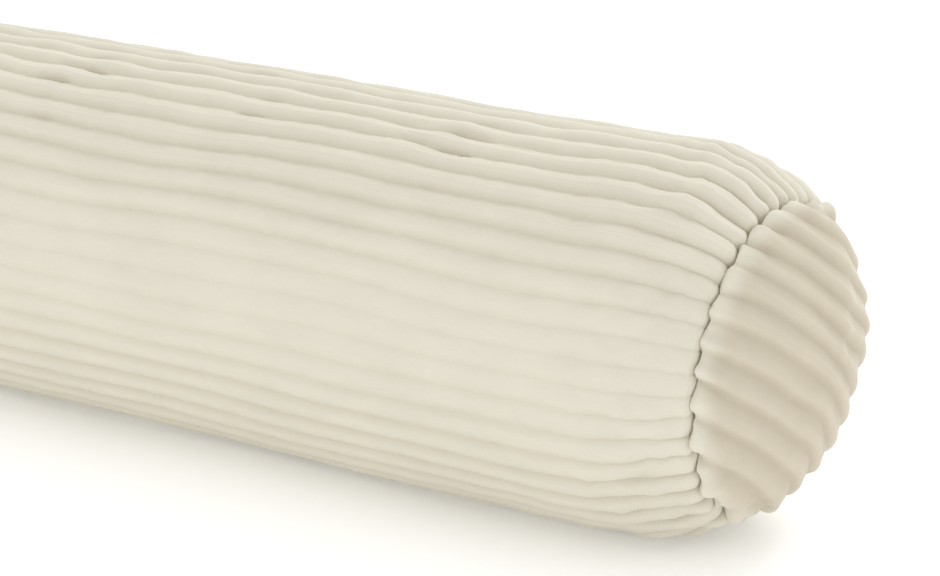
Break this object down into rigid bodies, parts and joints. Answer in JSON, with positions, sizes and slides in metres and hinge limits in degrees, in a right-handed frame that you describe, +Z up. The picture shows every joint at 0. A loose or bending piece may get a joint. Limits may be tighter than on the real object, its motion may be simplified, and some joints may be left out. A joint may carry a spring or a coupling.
{
  "type": "bolster pillow",
  "caption": "Long round bolster pillow with domed ends: a ribbed plush cover with a zip along the back, over a sewn casing filled with fibre.",
  "frame": {"origin": "on the plane the pillow rests on, under the middle of its length and width", "axes": "+X along the pillow towards its right end, +Y towards the zip side, +Z up"},
  "size_m": [0.8, 0.2, 0.1951],
  "materials": {
    "corduroy": "plush wide-wale corduroy, matt",
    "casing_cotton": "plain white cotton weave",
    "fibre": "loose white polyester fibre",
    "thread": "cream sewing thread",
    "zip_tape": "cream woven polyester tape",
    "zip_teeth": "cream polyester coil, slightly glossy",
    "zip_metal": "satin nickel plate"
  },
  "bodies": {
    "pillow": {"cover_tube": "corduroy", "cover_end_right": "corduroy", "cover_end_left": "corduroy", "end_seam_thread_right": "thread", "end_seam_thread_left": "thread", "long_seam_thread_right": "thread", "long_seam_thread_left": "thread", "casing_tube": "casing_cotton", "casing_end_right": "casing_cotton", "casing_end_left": "casing_cotton", "casing_thread_right": "thread", "casing_thread_left": "thread", "fibre_fill": "fibre", "zip_tape_upper": "zip_tape", "zip_tape_lower": "zip_tape", "zip_teeth_upper": "zip_teeth", "zip_teeth_lower": "zip_teeth", "zip_bottom_stop": "zip_metal", "zip_top_stop_upper": "zip_metal", "zip_top_stop_lower": "zip_metal"},
    "slider": {"zip_slider": "zip_metal"},
    "pull": {"zip_pull": "zip_metal"}
  },
  "joints": [
    {"name": "zip_slide", "type": "slide", "parent": "pillow", "child": "slider", "axis": [-1, 0, 0], "range_m": [0, 0.472]},
    {"name": "pull_hinge", "type": "hinge", "parent": "slider", "child": "pull", "pos_m": [0.2362, 0.09533, 0.12977], "axis": [0, 0.342, -0.9397], "range_deg": [0, 180]}
  ]
}
